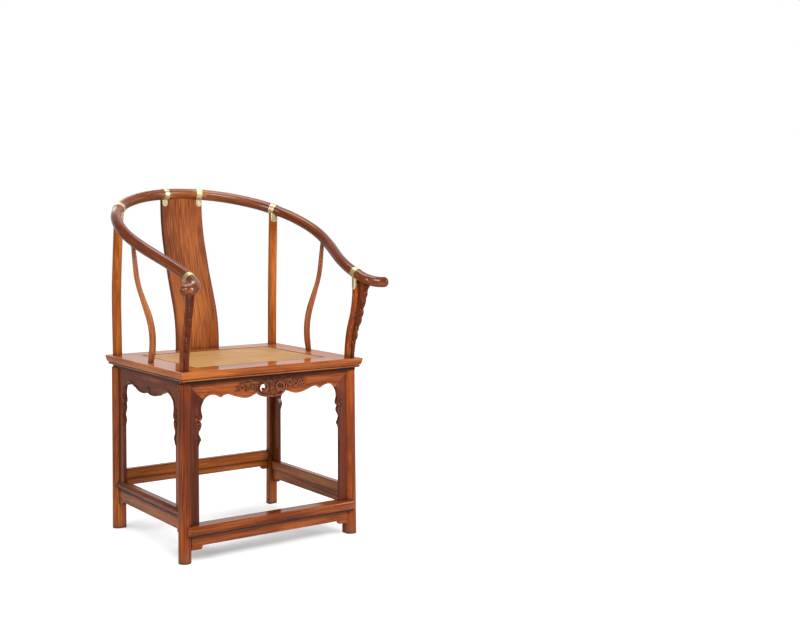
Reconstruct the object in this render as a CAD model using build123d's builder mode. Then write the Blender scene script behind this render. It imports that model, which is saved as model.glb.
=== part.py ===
from build123d import *
from math import cos, radians, sin, tan
import os

# Horseshoe back armchair. Millimetres, +Z up, the front faces -Y, the floor is z = 0.
# The right half is worked out from the values here and the left half is its mirror image.
# How it is put together: the front leg runs up through the seat frame as the forward-leaning
# arm post, the rear leg as the back post. A round crest rail in five scarfed lengths rests on
# the posts, the S-curved splat and the two side braces. The seat is a mitred frame with a cane
# mat let into it. Scalloped aprons and stepped stretchers tie the legs.

# Driving dimensions
seat_width = 566.0
seat_depth = 505.0
seat_height = 507.0
seat_frame_thickness = 34.0
seat_member_width = 78.0
mat_ledge = 12.0
webbing_thickness = 2.0
mat_thickness = 3.0
mat_sink = 0.5
border_strip_width = 4.0

leg_diameter = 34.0
front_leg_inset_x = 25.0
front_leg_inset_y = 35.0
rear_leg_inset_x = 25.3
rear_leg_inset_y = 30.0
front_leg_splay_x = 3.0
front_leg_splay_y = 3.4
rear_leg_splay_x = -0.7
rear_leg_splay_y = 4.5
front_post_diameter = 26.0
front_post_top_diameter = 22.0
rear_post_diameter = 27.0
post_tenon_diameter = 14.0
front_post_tenon_length = 26.0
rear_post_tenon_length = 30.0
post_root = 4.0

rail_back_diameter = 32.8
rail_side_diameter = 31.0
rail_arm_diameter = 29.8
rail_end_rounding = 12.0
scarf_length = 44.0
scarf_peg_size = 5.0
strap_thickness = 1.0
strap_clearance = 0.2
splat_strap_width = 17.0
splat_strap_drop = 21.0
post_strap_width = 18.0
front_tongue_drop = 34.0
rear_tongue_drop = 28.0
post_tongue_width = 20.0
tongue_lap = 20.0
post_tongue_start = 12.0
splat_tongue_start = 16.0

splat_width_bottom = 139.0
splat_width_top = 133.0
splat_rise = 464.0
splat_thickness = 13.0
splat_mortise_depth = 17.0

brace_foot_diameter = 15.0
brace_belly_diameter = 18.5
brace_neck_diameter = 14.0
brace_top_diameter = 11.0
brace_tenon_diameter = 9.0
brace_tenon_length = 16.0
brace_top_tenon_length = 20.0
brace_y = -3.0
brace_foot_x = 256.0
spandrel_thickness = 8.5
spandrel_turn = 9.0

apron_thickness = 10.0
apron_setback = 9.0
side_apron_setback = 13.0
rear_apron_setback = 8.0
apron_end_inset = 33.0
apron_mitre_drop = 46.0
front_mitre_reach = 206.0
side_mitre_reach = 158.5
front_apron_edge = 221.0
side_apron_edge = 173.5
rear_apron_height = 56.0
bead_width = 4.0
relief_height = 2.0
stroke_width = 2.4
pierced_radius = 10.5
pierced_centre = 26.0
pierced_drop = 29.0

footrest_top = 98.0
footrest_thickness = 28.0
footrest_front = 249.0
footrest_depth = 44.0
footrest_reach = 260.0
footrest_corner = 10.0
footrest_apron_height = 28.0
footrest_apron_setback = 19.0
side_stretcher_top = 140.0
side_stretcher_thickness = 28.0
side_stretcher_inset = 12.0
side_stretcher_apron_height = 29.0
back_stretcher_top = 171.0
back_stretcher_thickness = 30.0
back_stretcher_inset = 9.0
back_stretcher_apron_height = 19.0
stretcher_width = 22.0
stretcher_apron_thickness = 10.0
stretcher_apron_setback = 6.0
bracket_width = 25.0
bracket_drop = 9.5
bracket_cove = 3.0
bracket_round = 6.0
tenon_thickness = 12.0
tenon_depth = 18.0
tenon_root = 8.0
leg_lap = 8.0
board_lap = 9.0
corner_tenon = Vector(46, 22, 10)
corner_tenon_inset = 16.0
corner_tenon_rise = 14.0

seat_brace_spread = 150.0
seat_brace_width = 26.0
seat_brace_thickness = 18.0
seat_brace_bow = 11.0

# Values worked out from them
seat_half_x = seat_width / 2
seat_half_y = seat_depth / 2
seat_underside = seat_height - seat_frame_thickness
leg_radius = leg_diameter / 2
front_seat = Vector(seat_half_x - front_leg_inset_x, -seat_half_y + front_leg_inset_y)
rear_seat = Vector(seat_half_x - rear_leg_inset_x, seat_half_y - rear_leg_inset_y)
front_foot = front_seat + Vector(front_leg_splay_x, -front_leg_splay_y)
rear_foot = rear_seat + Vector(rear_leg_splay_x, rear_leg_splay_y)
opening_half_x = seat_half_x - seat_member_width
opening_half_y = seat_half_y - seat_member_width
ledge_depth = webbing_thickness + mat_thickness + mat_sink
ledge_height = seat_height - ledge_depth
front_apron_face = front_seat.Y - leg_radius + apron_setback
side_apron_face = front_seat.X + leg_radius - side_apron_setback
side_centre_y = (front_seat.Y + rear_seat.Y) / 2
side_half_span = (rear_seat.Y - front_seat.Y) / 2
apron_reach = seat_half_x - apron_end_inset
apron_mitre_height = seat_underside - apron_mitre_drop
corner_tenon_x = opening_half_x - mat_ledge + corner_tenon_inset
corner_tenon_y = opening_half_y - mat_ledge + corner_tenon_inset
corner_tenon_height = seat_underside + corner_tenon_rise
pierced_height = seat_underside - pierced_drop


# Bent round bars. A corner of a bar's line is (place, bend radius, bar diameter): the bar runs
# straight from bend to bend, tapers on these straight runs and keeps its diameter in a bend.
def bends(corners):
    """The bend at each inner corner: its start, its end, the direction in, the turn, the axis."""
    found = []
    for before, corner, after in zip(corners, corners[1:], corners[2:]):
        place, bend_radius, _ = corner
        arriving = (place - before[0]).normalized()
        leaving = (after[0] - place).normalized()
        turn = arriving.get_angle(leaving)
        setback = bend_radius * tan(radians(turn) / 2)
        start = place - arriving * setback
        hinge = arriving.cross(leaving).normalized()
        axis = Axis(start + hinge.cross(arriving) * bend_radius, hinge)
        found.append((start, place + leaving * setback, arriving, turn, axis))
    return found


def bent_line(corners):
    """Centre line of a bent bar: straight runs joined by tangent arcs."""
    with BuildLine() as line:
        reached = corners[0][0]
        for start, end, arriving, _, _ in bends(corners):
            Line(reached, start)
            TangentArc(start, end, tangent=arriving)
            reached = end
        Line(reached, corners[-1][0])
    return line.wire()


def straight_bar(start, end, seam, first_diameter, last_diameter):
    """Straight round bar with its seam on a given side, tapered where its diameters differ."""
    seat = (Align.CENTER, Align.CENTER, Align.MIN)
    length = (end - start).length
    with BuildPart(Plane(start, x_dir=seam, z_dir=end - start)) as bar:
        if first_diameter == last_diameter:
            Cylinder(first_diameter / 2, length, align=seat)
        else:
            Cone(first_diameter / 2, last_diameter / 2, length, align=seat)
    return bar.part


def bent_bar(corners, skin=0.0):
    """Round bar along a bent line, thicker by a skin all round."""
    all_bends = bends(corners)
    reached = corners[0][0]
    diameter = corners[0][2] + 2 * skin
    last_diameter = corners[-1][2] + 2 * skin
    seam = all_bends[0][4].direction
    with BuildPart() as bar:
        for bend, corner in zip(all_bends, corners[1:]):
            start, end, arriving, turn, axis = bend
            next_diameter = corner[2] + 2 * skin
            add(straight_bar(reached, start, seam, diameter, next_diameter))
            seam = axis.direction
            with BuildSketch(Plane(start, x_dir=seam, z_dir=arriving)):
                Circle(next_diameter / 2)
            revolve(axis=axis, revolution_arc=turn)
            reached = end
            diameter = next_diameter
        add(straight_bar(reached, corners[-1][0], seam, diameter, last_diameter))
    return bar.part


# Crest rail: half its line, from the middle of the back to the right hook
rail_corners = [
    (Vector(0, 333.5, 979.6), 0, rail_back_diameter),
    (Vector(43, 333.5, 979.6), 284, rail_back_diameter),
    (Vector(141.5, 307.7, 969.9), 288, rail_back_diameter),
    (Vector(234.8, 243, 945.4), 250, rail_back_diameter),
    (Vector(287.7, 158.4, 911.9), 240, rail_side_diameter),
    (Vector(317.3, 52.1, 869.3), 344, rail_side_diameter),
    (Vector(295.7, -59.5, 823.8), 400, rail_side_diameter),
    (Vector(269.9, -151.8, 787.3), 400, rail_arm_diameter),
    (Vector(253.8, -238.7, 755.6), 300, rail_arm_diameter),
    (Vector(268.9, -321.3, 726.7), 43, rail_arm_diameter),
    (Vector(318.5, -324.7, 726.2), 0, rail_arm_diameter),
]
rail_path = bent_line(rail_corners)


def rail_place_at(y):
    """Place on the half rail that lies at the given y, by halving the interval."""
    low = 0.0
    high = 1.0
    for _ in range(40):
        middle = (low + high) / 2
        if (rail_path @ middle).Y > y:
            low = middle
        else:
            high = middle
    return low


def past_scarf(place):
    """All that lies past a half-lap scarf: the upper half starts early, the lower half late."""
    reach = 2000
    with BuildPart(Plane(rail_path @ place, x_dir=(0, 0, 1), z_dir=rail_path % place)) as past:
        with Locations((0, 0, -scarf_length / 2)):
            Box(reach, reach, reach, align=(Align.MIN, Align.CENTER, Align.MIN))
        with Locations((0, 0, scarf_length / 2)):
            Box(reach, reach, reach, align=(Align.MAX, Align.CENTER, Align.MIN))
    return past.part


rear_joint_place = rail_place_at(208.5)
front_strap_place = rail_place_at(-254.5)
splat_joint_place = rail_place_at(328.9)

half_rail = bent_bar(rail_corners)

# Legs and posts


def leg_stick(foot, seat, inward):
    """Leg below the seat: round outside, square in the corner that faces the other legs."""
    foot_place = Vector(foot.X, foot.Y, 0)
    seat_place = Vector(seat.X, seat.Y, seat_underside)
    length = 2 * seat_height
    with BuildPart(Plane(foot_place, x_dir=(1, 0, 0), z_dir=seat_place - foot_place)) as stick:
        Cylinder(leg_radius, length)
        with Locations((-leg_radius / 2, inward * leg_radius / 2, 0)):
            Box(leg_radius, leg_radius, length)
        split(bisect_by=Plane.XY, keep=Keep.TOP)
        split(bisect_by=Plane.XY.offset(seat_underside), keep=Keep.BOTTOM)
    return stick.part


front_joint = rail_path @ front_strap_place
rear_joint = rail_path @ rear_joint_place
front_post_corners = [
    (Vector(front_seat.X, front_seat.Y, seat_underside - post_root), 0, front_post_diameter),
    (Vector(front_seat.X, front_seat.Y, seat_height + 40), 330, front_post_diameter),
    (Vector(front_seat.X + 2.2, front_seat.Y - 36.5, seat_height + 168), 330, front_post_top_diameter),
    (front_joint, 0, front_post_top_diameter),
]
rear_post_corners = [
    (Vector(rear_seat.X, rear_seat.Y, seat_underside - post_root), 0, rear_post_diameter),
    (Vector(rear_seat.X + 2.2, rear_seat.Y + 1, seat_height + 190), 1500, rear_post_diameter),
    (rear_joint, 0, rear_post_diameter),
]
front_post_path = bent_line(front_post_corners)
rear_post_path = bent_line(rear_post_corners)
front_post = bent_bar(front_post_corners)
rear_post = bent_bar(rear_post_corners)


def post_tenon(path, length):
    """Round tenon at a post's top, let into the rail."""
    with BuildPart(Plane(path @ 1, z_dir=path % 1)) as tenon:
        Cylinder(
            post_tenon_diameter / 2,
            length,
            align=(Align.CENTER, Align.CENTER, Align.MAX),
        )
    return tenon.part


with BuildPart() as front_stick:
    add(leg_stick(front_foot, front_seat, 1))
    add(front_post)
with BuildPart() as rear_stick:
    add(leg_stick(rear_foot, rear_seat, -1))
    add(rear_post)
front_tenon = post_tenon(front_post_path, front_post_tenon_length)
rear_tenon = post_tenon(rear_post_path, rear_post_tenon_length)

# Back splat: an S-curved board, housed in the rail above and in the rear seat member below
splat_bottom = seat_height - splat_mortise_depth
splat_top = seat_height + splat_rise
splat_corners = [
    (Vector(225, splat_bottom), 0, splat_thickness),
    (Vector(226.6, seat_height + 89), 304, splat_thickness),
    (Vector(283.8, seat_height + 227), 731, splat_thickness),
    (Vector(332.5, seat_height + 374.5), 433, splat_thickness),
    (Vector(333, splat_top), 0, splat_thickness),
]
splat_path = bent_line(splat_corners)


def splat_slab(thickness):
    """Slab with the splat's side view, wide enough for any front view cut from it."""
    with BuildPart() as slab:
        with BuildSketch(Plane.YZ):
            trace(splat_path, line_width=thickness)
        extrude(amount=splat_width_bottom, both=True)
    return slab.part


with BuildPart() as back_splat:
    add(splat_slab(splat_thickness))
    with BuildSketch(Plane.XZ):
        with BuildLine():
            Polyline(
                (-splat_width_bottom / 2, splat_bottom),
                (splat_width_bottom / 2, splat_bottom),
                (splat_width_top / 2, splat_top),
                (-splat_width_top / 2, splat_top),
                close=True,
            )
        make_face()
    extrude(amount=-2 * seat_depth, mode=Mode.INTERSECT)
back_splat.part.label = "back_splat"

# Scarf pegs, square wedges through the middle of each scarf
def scarf_peg(place):
    """Upright peg through the rail."""
    with BuildPart(Plane(rail_path @ place, x_dir=rail_path % place, z_dir=(0, 0, 1))) as wedge:
        Box(scarf_peg_size, scarf_peg_size, 2 * rail_back_diameter)
    with BuildPart() as peg:
        add(half_rail)
        add(wedge.part, mode=Mode.INTERSECT)
    return peg.part


with BuildPart() as pegs_right:
    for place in (splat_joint_place, rear_joint_place):
        add(scarf_peg(place))
    add(back_splat.part, mode=Mode.SUBTRACT)
    add(rear_tenon, mode=Mode.SUBTRACT)

# Crest rail in five lengths. The splat, the posts' tenons, the braces' tenons and the pegs are
# let into it.
brace_joint = rail_path @ rail_place_at(brace_y)
brace_corners = [
    (Vector(brace_foot_x, brace_y, seat_height - 6), 0, brace_foot_diameter),
    (Vector(243.4, brace_y, seat_height + 83), 235, brace_belly_diameter),
    (Vector(294.2, brace_y, seat_height + 224), 269, brace_neck_diameter),
    (brace_joint, 0, brace_top_diameter),
]
brace_path = bent_line(brace_corners)
with BuildPart(Plane((brace_foot_x, brace_y, seat_height + 2))) as brace_foot_tenon:
    Cylinder(
        brace_tenon_diameter / 2,
        brace_tenon_length + 2,
        align=(Align.CENTER, Align.CENTER, Align.MAX),
    )
with BuildPart(Plane(brace_path @ 1, z_dir=brace_path % 1)) as brace_top_tenon:
    Cylinder(
        brace_tenon_diameter / 2,
        brace_top_tenon_length,
        align=(Align.CENTER, Align.CENTER, Align.MAX),
    )
with BuildPart() as side_brace_right:
    add(bent_bar(brace_corners))
    split(bisect_by=Plane.XY.offset(seat_height), keep=Keep.TOP)
    add(half_rail, mode=Mode.SUBTRACT)
    add(brace_foot_tenon.part)
    add(brace_top_tenon.part)
side_brace_right.part.label = "side_brace_right"

let_into_rail = [
    back_splat.part,
    front_tenon,
    rear_tenon,
    brace_top_tenon.part,
    pegs_right.part,
]
past_splat = past_scarf(splat_joint_place)
past_rear_post = past_scarf(rear_joint_place)
with BuildPart() as crest_rail_centre:
    add(half_rail)
    add(past_splat, mode=Mode.SUBTRACT)
    add(let_into_rail, mode=Mode.SUBTRACT)
    mirror(about=Plane.YZ)
crest_rail_centre.part.label = "crest_rail_centre"
with BuildPart() as crest_shoulder_right:
    add(half_rail)
    add(past_splat, mode=Mode.INTERSECT)
    add(past_rear_post, mode=Mode.SUBTRACT)
    add(let_into_rail, mode=Mode.SUBTRACT)
crest_shoulder_right.part.label = "crest_shoulder_right"
with BuildPart() as arm_rail_right:
    add(half_rail)
    add(past_rear_post, mode=Mode.INTERSECT)
    tip = arm_rail_right.faces().sort_by_distance(rail_path @ 1)[0]
    fillet(tip.edges(), radius=rail_end_rounding)
    add(let_into_rail, mode=Mode.SUBTRACT)
arm_rail_right.part.label = "arm_rail_right"
with BuildPart() as scarf_pegs:
    add(pegs_right.part)
    mirror(about=Plane.YZ)
scarf_pegs.part.label = "scarf_pegs"

# Carved bracket in front of the front post: a board on the post's centre plane, turned
# outwards a little, with lobes along its front edge. Points are (ahead of the post's foot, z).
spandrel_edge = [
    (19, seat_height, 0),
    (27, seat_height + 51, 1.0),
    (33.5, seat_height + 75, -4.0),
    (41, seat_height + 93, 1.0),
    (51.5, seat_height + 118, -3.5),
    (57.5, seat_height + 142, -4.0),
    (69.5, seat_height + 174, -3.0),
    (75, seat_height + 192, -2.5),
    (80, seat_height + 202, 0.8),
    (96, seat_height + 216, 1.5),
]
turn = radians(spandrel_turn)
spandrel_plane = Plane(
    (front_seat.X, front_seat.Y, 0),
    x_dir=(sin(turn), -cos(turn), 0),
    z_dir=(-cos(turn), -sin(turn), 0),
)


with BuildPart() as arm_spandrel_right:
    with BuildSketch(spandrel_plane):
        with BuildLine():
            for start, end in zip(spandrel_edge, spandrel_edge[1:]):
                SagittaArc(start[:2], end[:2], end[2])
            Polyline(
                spandrel_edge[-1][:2],
                (96, seat_height + 236),
                (43, seat_height + 236),
                (33, seat_height + 173),
                (7, seat_height + 53),
                (2, seat_height),
                spandrel_edge[0][:2],
            )
        make_face()
    extrude(amount=spandrel_thickness / 2, both=True)
    add(front_stick.part, mode=Mode.SUBTRACT)
    add(half_rail, mode=Mode.SUBTRACT)
arm_spandrel_right.part.label = "arm_spandrel_right"

# Brass straps: a sheet-metal band round the rail and a tongue down the piece below it
def rail_band(place, width, rail_diameter):
    """Sheet-metal band round the rail, a straight sleeve that just clears its bend."""
    inner = rail_diameter / 2 + strap_clearance
    with BuildPart(Plane(rail_path @ place, z_dir=rail_path % place)) as band:
        Cylinder(inner + strap_thickness, width)
        Cylinder(inner, width, mode=Mode.SUBTRACT)
    return band.part


def tongue_outline(width, drop, point):
    """Tongue that hangs from the origin, laps behind the band and ends in a point or a round."""
    with BuildSketch() as tongue:
        with BuildLine():
            half = width / 2
            blunt = 0.55 * half
            shoulder = half - drop
            Polyline((-half, shoulder), (-half, tongue_lap), (half, tongue_lap), (half, shoulder))
            if point:
                Polyline((half, shoulder), (blunt, -drop), (-blunt, -drop), (-half, shoulder))
            else:
                ThreePointArc((half, shoulder), (0, -drop), (-half, shoulder))
        make_face()
    return tongue.sketch


splat_joint = rail_path @ splat_joint_place
splat_tongue_place = Vector(splat_joint.X, 0, splat_joint.Z - splat_tongue_start)
with BuildPart() as splat_strap_right:
    add(splat_slab(splat_thickness + 2 * strap_thickness))
    with BuildSketch(Plane(splat_tongue_place, x_dir=(1, 0, 0), z_dir=(0, -1, 0))):
        add(tongue_outline(splat_strap_width, splat_strap_drop, False))
    extrude(amount=-2 * seat_depth, mode=Mode.INTERSECT)
    add(half_rail, mode=Mode.SUBTRACT)
    add(rail_band(splat_joint_place, splat_strap_width, rail_back_diameter))
    add(back_splat.part, mode=Mode.SUBTRACT)
splat_strap_right.part.label = "splat_strap_right"


def post_strap(place, rail_diameter, post_corners, stick, facing, drop, point):
    """Band round the rail over a post, with a tongue down the side of the post it faces."""
    tongue_place = rail_path @ place - Vector(0, 0, post_tongue_start)
    across = Vector(0, 0, 1).cross(facing)
    with BuildPart() as strap:
        add(bent_bar(post_corners, strap_thickness))
        with BuildSketch(Plane(tongue_place, x_dir=across, z_dir=facing)):
            add(tongue_outline(post_tongue_width, drop, point))
        extrude(amount=2 * rail_back_diameter, mode=Mode.INTERSECT)
        add(half_rail, mode=Mode.SUBTRACT)
        add(rail_band(place, post_strap_width, rail_diameter))
        add(stick, mode=Mode.SUBTRACT)
    return strap.part


facing_in = Vector(-1, 0, 0)
facing_forward = Vector(-0.3, -1, 0).normalized()
with BuildPart() as front_post_strap_right:
    add(
        post_strap(
            front_strap_place,
            rail_arm_diameter,
            front_post_corners,
            front_stick.part,
            facing_in,
            front_tongue_drop,
            True,
        )
    )
    add(arm_spandrel_right.part, mode=Mode.SUBTRACT)
front_post_strap_right.part.label = "front_post_strap_right"
with BuildPart() as rear_post_strap_right:
    add(
        post_strap(
            rear_joint_place,
            rail_back_diameter,
            rear_post_corners,
            rear_stick.part,
            facing_forward,
            rear_tongue_drop,
            False,
        )
    )
rear_post_strap_right.part.label = "rear_post_strap_right"

# Seat frame: mitred members. Profile points are (inset from the outer edge, z).
def member_profile(plane):
    """Section of a seat member: moulded outer edge, plain top, ledge for the mat inside."""
    with BuildSketch(plane) as profile:
        with BuildLine():
            Polyline(
                (seat_member_width + mat_ledge, seat_underside),
                (16, seat_underside),
                (16, seat_underside + 7),
                (9, seat_underside + 7.5),
            )
            ThreePointArc(
                (9, seat_underside + 7.5),
                (6, seat_underside + 10.5),
                (9, seat_underside + 13.5),
            )
            Line((9, seat_underside + 13.5), (5, seat_underside + 14.5))
            ThreePointArc(
                (5, seat_underside + 14.5),
                (1.2, seat_height - 10),
                (0, seat_height - 3),
            )
            ThreePointArc((0, seat_height - 3), (0.8, seat_height - 0.8), (3, seat_height))
            Polyline(
                (3, seat_height),
                (seat_member_width, seat_height),
                (seat_member_width, ledge_height),
                (seat_member_width + mat_ledge, ledge_height),
                (seat_member_width + mat_ledge, seat_underside),
            )
        make_face()
    return profile.sketch


# Tenons at the mitres: part of the front and rear members, let into the side members
with BuildPart() as corner_tenons:
    with GridLocations(2 * corner_tenon_x, 2 * corner_tenon_y, 2, 2):
        with Locations((0, 0, corner_tenon_height)):
            Box(corner_tenon.X, corner_tenon.Y, corner_tenon.Z)

# Two cross braces that bow down under the mat, tenoned into the front and rear members
with BuildPart() as seat_braces:
    brace_end = opening_half_y - mat_ledge + tenon_depth - 4
    brace_high = ledge_height - 3
    brace_low = brace_high - seat_brace_thickness
    for side in (-1, 1):
        with BuildSketch(Plane.YZ.offset(side * seat_brace_spread / 2 - seat_brace_width / 2)):
            with BuildLine():
                ThreePointArc(
                    (-brace_end, brace_high),
                    (0, brace_high - seat_brace_bow),
                    (brace_end, brace_high),
                )
                Line((brace_end, brace_high), (brace_end, brace_low))
                ThreePointArc(
                    (brace_end, brace_low),
                    (0, brace_low - seat_brace_bow),
                    (-brace_end, brace_low),
                )
                Line((-brace_end, brace_low), (-brace_end, brace_high))
            make_face()
    extrude(amount=seat_brace_width)
seat_braces.part.label = "seat_braces"

mitre_front_right = Plane((seat_half_x, -seat_half_y, 0), x_dir=(0, 0, 1), z_dir=(-1, -1, 0))
mitre_front_left = Plane((-seat_half_x, -seat_half_y, 0), x_dir=(0, 0, 1), z_dir=(1, -1, 0))
mitre_rear_right = Plane((seat_half_x, seat_half_y, 0), x_dir=(0, 0, 1), z_dir=(-1, 1, 0))
mitre_rear_left = Plane((-seat_half_x, seat_half_y, 0), x_dir=(0, 0, 1), z_dir=(1, 1, 0))
with BuildPart() as front_sticks:
    add(front_stick.part)
    mirror(about=Plane.YZ)
with BuildPart() as rear_sticks:
    add(rear_stick.part)
    mirror(about=Plane.YZ)
with BuildPart() as seat_rail_front:
    extrude(
        member_profile(Plane((0, -seat_half_y, 0), x_dir=(0, 1, 0), z_dir=(1, 0, 0))),
        amount=seat_half_x,
        both=True,
    )
    split(bisect_by=mitre_front_right, keep=Keep.TOP)
    split(bisect_by=mitre_front_left, keep=Keep.TOP)
    with Locations((0, -corner_tenon_y, corner_tenon_height)):
        with GridLocations(2 * corner_tenon_x, 0, 2, 1):
            Box(corner_tenon.X, corner_tenon.Y, corner_tenon.Z)
    add(seat_braces.part, mode=Mode.SUBTRACT)
    add(front_sticks.part, mode=Mode.SUBTRACT)
seat_rail_front.part.label = "seat_rail_front"
with BuildPart() as seat_rail_back:
    extrude(
        member_profile(Plane((0, seat_half_y, 0), x_dir=(0, -1, 0), z_dir=(-1, 0, 0))),
        amount=seat_half_x,
        both=True,
    )
    split(bisect_by=mitre_rear_right, keep=Keep.TOP)
    split(bisect_by=mitre_rear_left, keep=Keep.TOP)
    with Locations((0, corner_tenon_y, corner_tenon_height)):
        with GridLocations(2 * corner_tenon_x, 0, 2, 1):
            Box(corner_tenon.X, corner_tenon.Y, corner_tenon.Z)
    add(seat_braces.part, mode=Mode.SUBTRACT)
    add(rear_sticks.part, mode=Mode.SUBTRACT)
    add(back_splat.part, mode=Mode.SUBTRACT)
seat_rail_back.part.label = "seat_rail_back"
with BuildPart() as seat_rail_right:
    extrude(
        member_profile(Plane((seat_half_x, 0, 0), x_dir=(-1, 0, 0), z_dir=(0, 1, 0))),
        amount=seat_half_y,
        both=True,
    )
    split(bisect_by=mitre_front_right, keep=Keep.BOTTOM)
    split(bisect_by=mitre_rear_right, keep=Keep.BOTTOM)
    add(corner_tenons.part, mode=Mode.SUBTRACT)
    add(front_stick.part, mode=Mode.SUBTRACT)
    add(rear_stick.part, mode=Mode.SUBTRACT)
    add(brace_foot_tenon.part, mode=Mode.SUBTRACT)
seat_rail_right.part.label = "seat_rail_right"

# Webbing, mat and the strips that hold the mat down, all in the frame's rebate
with BuildPart() as palm_webbing:
    with BuildSketch(Plane.XY.offset(ledge_height)):
        Rectangle(2 * opening_half_x, 2 * opening_half_y)
    extrude(amount=webbing_thickness)
palm_webbing.part.label = "palm_webbing"
mat_half_x = opening_half_x - border_strip_width
mat_half_y = opening_half_y - border_strip_width
with BuildPart() as cane_mat:
    with BuildSketch(Plane.XY.offset(ledge_height + webbing_thickness)):
        Rectangle(2 * mat_half_x, 2 * mat_half_y)
    extrude(amount=mat_thickness)
cane_mat.part.label = "cane_mat"
with BuildPart() as mat_border:
    with BuildSketch(Plane.XY.offset(ledge_height + webbing_thickness)):
        Rectangle(2 * opening_half_x, 2 * opening_half_y)
        Rectangle(2 * mat_half_x, 2 * mat_half_y, mode=Mode.SUBTRACT)
    extrude(amount=mat_thickness + mat_sink)
mat_border.part.label = "mat_border"


# Aprons. Points are (out from the middle, z), heights hang from the seat's underside.
def upright_edge(edge):
    """Inner edge of an upright board: a shoulder, two carved curls and a cusp, each a curve."""
    shapes = (
        ((-13, -50), (-8, -62), (-7, -70), (-8.5, -81), (-10.5, -91), (-8, -97.5), (-3.5, -101)),
        ((-3.5, -101), (-7, -106), (-8, -112), (-5, -121), (-0.5, -129), (0.5, -135)),
        ((0.5, -135), (-3.5, -143), (-7, -151)),
        ((-7, -151), (-3, -157), (0, -167)),
    )
    return [[(edge + x, seat_underside + z) for x, z in shape] for shape in shapes]


def hang(points):
    """The same points with their heights hung from the seat's underside."""
    return [(x, seat_underside + z) for x, z in points]


front_swell = [
    (44, -40),
    (56, -45.5),
    (70, -50.6),
    (86, -51.2),
    (102, -48),
    (119, -42),
    (135, -37),
    (148, -39),
    (155, -44.2),
]
front_curves = [
    hang([(0, -55.5), (24, -53.5), (38, -47.5), (44, -40)]),
    hang(front_swell),
    hang([(155, -44.2), (162, -40), (171, -36.2), (180, -34.5), (192, -36), (202, -42), (208, -50)]),
]
front_curves += upright_edge(front_apron_edge)
side_curves = [
    hang([(0, -48.5), (14, -52.8), (30, -54.3), (52, -53.2), (68, -49.5), (82, -43.6)]),
    hang([(82, -43.6), (94, -41.6), (103, -38), (112, -34.2), (128, -33), (145, -39), (160.5, -50)]),
]
side_curves += upright_edge(side_apron_edge)


def apron_outline(curves, edge, reach, bottom):
    """Face of a scalloped apron and its two upright boards, before they are cut apart."""
    with BuildSketch() as outline:
        with BuildLine():
            for side in (1, -1):
                for curve in curves:
                    Spline(*[(side * x, z) for x, z in curve])
            last = curves[-1][-1]
            Polyline(
                last,
                (last[0], bottom),
                (reach, bottom),
                (reach, seat_underside),
                (-reach, seat_underside),
                (-reach, bottom),
                (-last[0], bottom),
                (-last[0], last[1]),
            )
        make_face()
    return outline.sketch


def edge_band(curves):
    """Band that follows the scalloped edge, to both sides of it."""
    with BuildSketch() as band:
        with BuildLine(mode=Mode.PRIVATE) as edges:
            for side in (1, -1):
                for curve in curves:
                    Spline(*[(side * x, z) for x, z in curve])
        for edge in edges.edges():
            trace(edge, line_width=2 * bead_width)
        for side in (1, -1):
            for curve in curves:
                with Locations((side * curve[0][0], curve[0][1])):
                    Circle(bead_width)
    return band.sketch


def scrolls(strokes):
    """Raised scroll strokes and their mirror images: (x, z, radius, first angle, turn)."""
    with BuildSketch() as drawn:
        for x, z, radius, first, stretch in strokes:
            for side in (1, -1):
                start = first if side == 1 else 180 - first - stretch
                with BuildLine(mode=Mode.PRIVATE) as stroke:
                    CenterArc((side * x, seat_underside + z), radius, start, stretch)
                trace(stroke.edge(), line_width=stroke_width)
    return drawn.sketch


# Front apron: the field is cut back, so the bead and the carving are left standing
front_outline = apron_outline(front_curves, front_apron_edge, apron_reach, footrest_top)
leaf_strokes = (
    (58, -20, 8, 60, 240),
    (60, -21, 4, 200, 230),
    (76, -24, 6.5, 80, 220),
    (90, -21, 5, 40, 230),
    (101, -27, 4, 60, 240),
)
curl_strokes = (
    (front_apron_edge + 1.5, -93, 6, 90, 240),
    (front_apron_edge + 1.5, -112, 5.5, 90, 240),
)
with BuildSketch() as piercings:
    for side in (1, -1):
        with Locations((side * pierced_centre, pierced_height)):
            Circle(pierced_radius)
    for side in (1, -1):
        with Locations((side * (pierced_centre - 5), pierced_height - 5.5)):
            Circle(4.4, mode=Mode.SUBTRACT)
        with Locations((side * (pierced_centre - 9), pierced_height - 7.5)):
            Rectangle(7, 4, mode=Mode.SUBTRACT)
with BuildSketch() as front_relief:
    for side in (1, -1):
        with Locations((side * pierced_centre, pierced_height)):
            Circle(pierced_radius + 3.5)
    for side in (1, -1):
        with Locations((side * pierced_centre, pierced_height)):
            Circle(pierced_radius - 1, mode=Mode.SUBTRACT)
    for side in (1, -1):
        with Locations((side * (pierced_centre - 5), pierced_height - 5.5)):
            Circle(4.4)
    with Locations((0, pierced_height + 2)):
        Ellipse(4.5, 16)
with BuildSketch() as front_field:
    Rectangle(4 * seat_half_x, 4 * seat_underside)
    add(edge_band(front_curves), mode=Mode.SUBTRACT)
    add(front_relief.sketch, mode=Mode.SUBTRACT)
    add(scrolls(leaf_strokes), mode=Mode.SUBTRACT)
    add(scrolls(curl_strokes), mode=Mode.SUBTRACT)
front_face = Plane.XZ.offset(-front_apron_face)
with BuildPart() as front_apron_whole:
    with BuildSketch(front_face.offset(relief_height)):
        add(front_outline)
    extrude(amount=-apron_thickness - relief_height)
    with BuildSketch(front_face):
        add(front_field.sketch)
    extrude(amount=2 * relief_height, mode=Mode.SUBTRACT)
    with BuildSketch(front_face):
        add(piercings.sketch)
    extrude(amount=2 * apron_thickness, both=True, mode=Mode.SUBTRACT)
    add(front_sticks.part, mode=Mode.SUBTRACT)
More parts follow.
